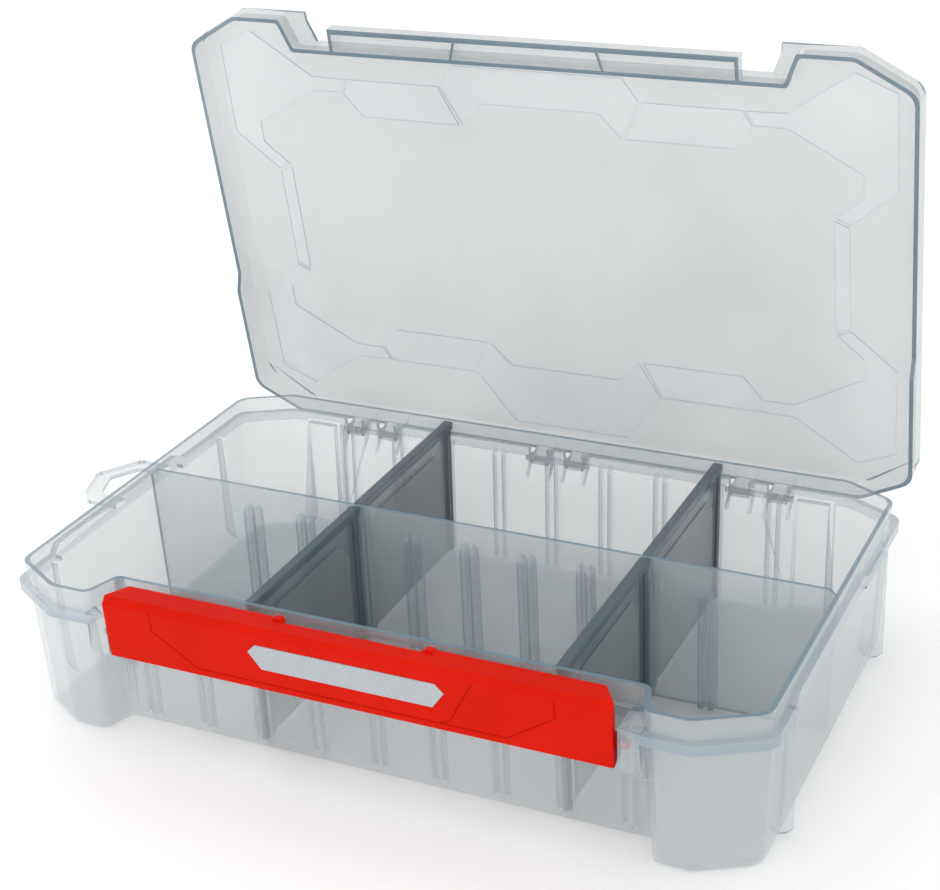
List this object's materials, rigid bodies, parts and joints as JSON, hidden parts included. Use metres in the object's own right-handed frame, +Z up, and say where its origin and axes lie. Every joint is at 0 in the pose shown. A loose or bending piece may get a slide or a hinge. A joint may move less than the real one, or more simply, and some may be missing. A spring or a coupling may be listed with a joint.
{
  "type": "fishing tackle box",
  "caption": "Clear fishing tackle box: shallow tub with a fixed centre wall, lift-out smoky dividers, a hinged lid and a long snap-over latch with a blank label.",
  "frame": {"origin": "middle of the tub's underside, on the surface that it stands on", "axes": "+X to the right seen from the latch side, +Y from the latch to the hinge, +Z up"},
  "size_m": [0.3792, 0.2453, 0.2775],
  "materials": {
    "clear_plastic": "clear polypropylene, glossy, faintly blue at its edges",
    "smoky_plastic": "smoke-tinted translucent polypropylene",
    "red_plastic": "satin moulded plastic",
    "label_sheet": "matt grey writing surface"
  },
  "bodies": {
    "tub": {"tub": "clear_plastic", "centre_wall": "clear_plastic", "hinge_bar_left": "clear_plastic", "hinge_bar_centre": "clear_plastic", "hinge_bar_right": "clear_plastic"},
    "lid": {"lid": "clear_plastic"},
    "latch": {"latch": "red_plastic", "label": "label_sheet"},
    "divider_front_left": {"divider_front_left": "smoky_plastic"},
    "divider_rear_left": {"divider_rear_left": "smoky_plastic"},
    "divider_front_right": {"divider_front_right": "smoky_plastic"},
    "divider_rear_right": {"divider_rear_right": "smoky_plastic"}
  },
  "joints": [
    {"name": "lid_hinge", "type": "hinge", "parent": "tub", "child": "lid", "pos_m": [0, 0.111, 0.056], "axis": [-1, 0, 0], "range_deg": [-80, 30]},
    {"name": "latch_hinge", "type": "hinge", "parent": "tub", "child": "latch", "pos_m": [0, -0.1055, 0.0545], "axis": [1, 0, 0], "range_deg": [-4, 70]},
    {"name": "divider_front_left_lift", "type": "slide", "parent": "tub", "child": "divider_front_left", "axis": [0, 0, 1], "range_m": [0, 0.075]},
    {"name": "divider_rear_left_lift", "type": "slide", "parent": "tub", "child": "divider_rear_left", "axis": [0, 0, 1], "range_m": [0, 0.075]},
    {"name": "divider_front_right_lift", "type": "slide", "parent": "tub", "child": "divider_front_right", "axis": [0, 0, 1], "range_m": [0, 0.075]},
    {"name": "divider_rear_right_lift", "type": "slide", "parent": "tub", "child": "divider_rear_right", "axis": [0, 0, 1], "range_m": [0, 0.075]}
  ]
}
